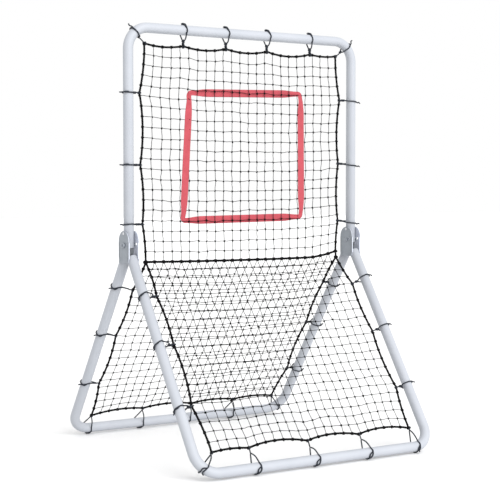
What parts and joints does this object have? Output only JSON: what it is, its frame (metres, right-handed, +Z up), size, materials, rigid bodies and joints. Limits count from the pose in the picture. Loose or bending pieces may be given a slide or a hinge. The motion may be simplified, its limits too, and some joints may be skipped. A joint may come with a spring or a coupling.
{
  "type": "pitch back rebounder",
  "caption": "Folding lawn rebounder: a laced net in a tilting bent-tube frame with a strike-zone ribbon, on two hinged, netted leg frames.",
  "frame": {"origin": "on the ground, under the middle of the hinge line", "axes": "+Z up, +X along the hinge line towards the right as a thrower in front sees it, -Y towards the thrower in front"},
  "size_m": [0.9074, 0.9074, 1.3637],
  "materials": {
    "white_powder_coat": "semi-gloss powder coat",
    "grey_painted_steel": "satin paint",
    "zinc_plated_steel": "bright zinc plate",
    "black_cord": "braided cord",
    "black_netting": "knotted twine",
    "red_ribbon": "flat woven ribbon"
  },
  "bodies": {
    "hinge_brackets": {"hinge_plate_left_outer": "grey_painted_steel", "hinge_plate_left_inner": "grey_painted_steel", "hinge_plate_right_outer": "grey_painted_steel", "hinge_plate_right_inner": "grey_painted_steel", "tilt_pivot_left": "zinc_plated_steel", "tilt_pivot_right": "zinc_plated_steel", "leg_rivet_front_left": "grey_painted_steel", "leg_rivet_front_right": "grey_painted_steel", "leg_rivet_rear_left": "grey_painted_steel", "leg_rivet_rear_right": "grey_painted_steel", "hinge_rope": "black_cord"},
    "upper_frame": {"upper_frame_tube": "white_powder_coat", "upper_net": "black_netting", "upper_border_rope": "black_cord", "strike_zone_ribbon": "red_ribbon", "upper_tie_left_1": "black_cord", "upper_tie_left_2": "black_cord", "upper_tie_left_3": "black_cord", "upper_tie_left_corner": "black_cord", "upper_tie_right_1": "black_cord", "upper_tie_right_2": "black_cord", "upper_tie_right_3": "black_cord", "upper_tie_right_corner": "black_cord", "upper_tie_bar_1": "black_cord", "upper_tie_bar_2": "black_cord", "upper_tie_bar_3": "black_cord", "upper_tie_bar_4": "black_cord", "clamp_bolt_left": "grey_painted_steel", "clamp_bolt_right": "grey_painted_steel", "clamp_nut_left": "grey_painted_steel", "clamp_nut_right": "grey_painted_steel"},
    "front_frame": {"front_frame_tube": "white_powder_coat", "front_net": "black_netting", "front_border_rope": "black_cord", "front_tie_left_1": "black_cord", "front_tie_left_2": "black_cord", "front_tie_left_3": "black_cord", "front_tie_left_corner": "black_cord", "front_tie_right_1": "black_cord", "front_tie_right_2": "black_cord", "front_tie_right_3": "black_cord", "front_tie_right_corner": "black_cord", "front_tie_bar_1": "black_cord", "front_tie_bar_2": "black_cord", "front_tie_bar_3": "black_cord"},
    "rear_frame": {"rear_frame_tube": "white_powder_coat", "rear_net": "black_netting", "rear_border_rope": "black_cord", "rear_tie_left_1": "black_cord", "rear_tie_left_2": "black_cord", "rear_tie_left_3": "black_cord", "rear_tie_left_corner": "black_cord", "rear_tie_right_1": "black_cord", "rear_tie_right_2": "black_cord", "rear_tie_right_3": "black_cord", "rear_tie_right_corner": "black_cord", "rear_tie_bar_1": "black_cord", "rear_tie_bar_2": "black_cord", "rear_tie_bar_3": "black_cord"}
  },
  "joints": [
    {"name": "upper_tilt", "type": "hinge", "parent": "hinge_brackets", "child": "upper_frame", "pos_m": [0, 0, 0.70195], "axis": [-1, 0, 0], "range_deg": [0, 30]},
    {"name": "front_fold", "type": "hinge", "parent": "hinge_brackets", "child": "front_frame", "pos_m": [0, -0.0234, 0.62135], "axis": [1, 0, 0], "range_deg": [0, 34.3]},
    {"name": "rear_fold", "type": "hinge", "parent": "hinge_brackets", "child": "rear_frame", "pos_m": [0, 0.0234, 0.62135], "axis": [-1, 0, 0], "range_deg": [0, 34.3]}
  ]
}
